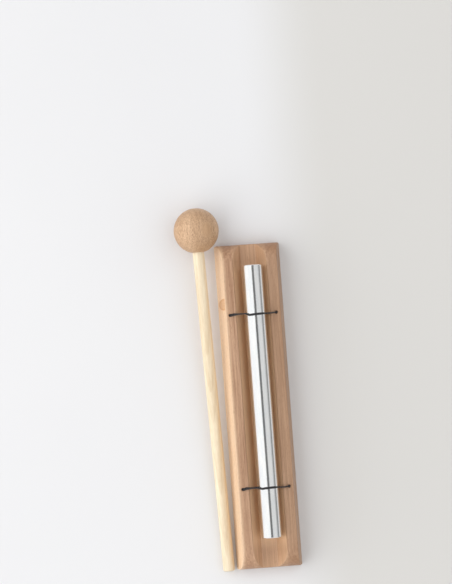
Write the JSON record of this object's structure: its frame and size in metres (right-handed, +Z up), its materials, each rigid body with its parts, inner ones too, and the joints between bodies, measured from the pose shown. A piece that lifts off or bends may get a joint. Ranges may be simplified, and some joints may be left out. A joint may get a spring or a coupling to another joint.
{
  "type": "chime bar",
  "caption": "Tabletop chime bar: solid aluminium rod held on doubled elastic cords over a grooved wooden base, with a ball-headed wooden beater lying beside it.",
  "frame": {"origin": "middle of the wooden base's flat underside", "axes": "+Y along the base towards its far end, where the beater's ball lies; +Z up, out of the grooved top; +X to the right, away from the beater"},
  "size_m": [0.0577, 0.1986, 0.0246],
  "materials": {
    "base_wood": "sanded beech with a thin satin oil",
    "polished_rod": "bright polished, with faint marks round the rod",
    "elastic_cord": "braided black sleeve over a rubber core",
    "ball_wood": "turned beech, sanded and lightly oiled",
    "dowel_wood": "pale birch dowel, bare and smooth"
  },
  "bodies": {
    "base": {"base_block": "base_wood"},
    "cords": {"far_cord": "elastic_cord", "near_cord": "elastic_cord"},
    "rod": {"chime_rod": "polished_rod"},
    "beater": {"beater_ball": "ball_wood", "beater_stick": "dowel_wood"}
  },
  "joints": [
    {"name": "rod_bounce", "type": "slide", "parent": "base", "child": "cords", "axis": [0, 0, 1], "range_m": [-0.002, 0.004], "stiffness_N_per_m": 400, "springref_m": 0.00095, "deforming": ["far_cord", "near_cord"]},
    {"name": "rod_turn", "type": "hinge", "parent": "cords", "child": "rod", "pos_m": [0.0012, 0.0023, 0.0168], "axis": [0, 1, 0], "continuous": true},
    {"name": "beater_lift", "type": "slide", "parent": "base", "child": "beater", "axis": [0, 0, 1], "range_m": [0, 0.1]}
  ]
}
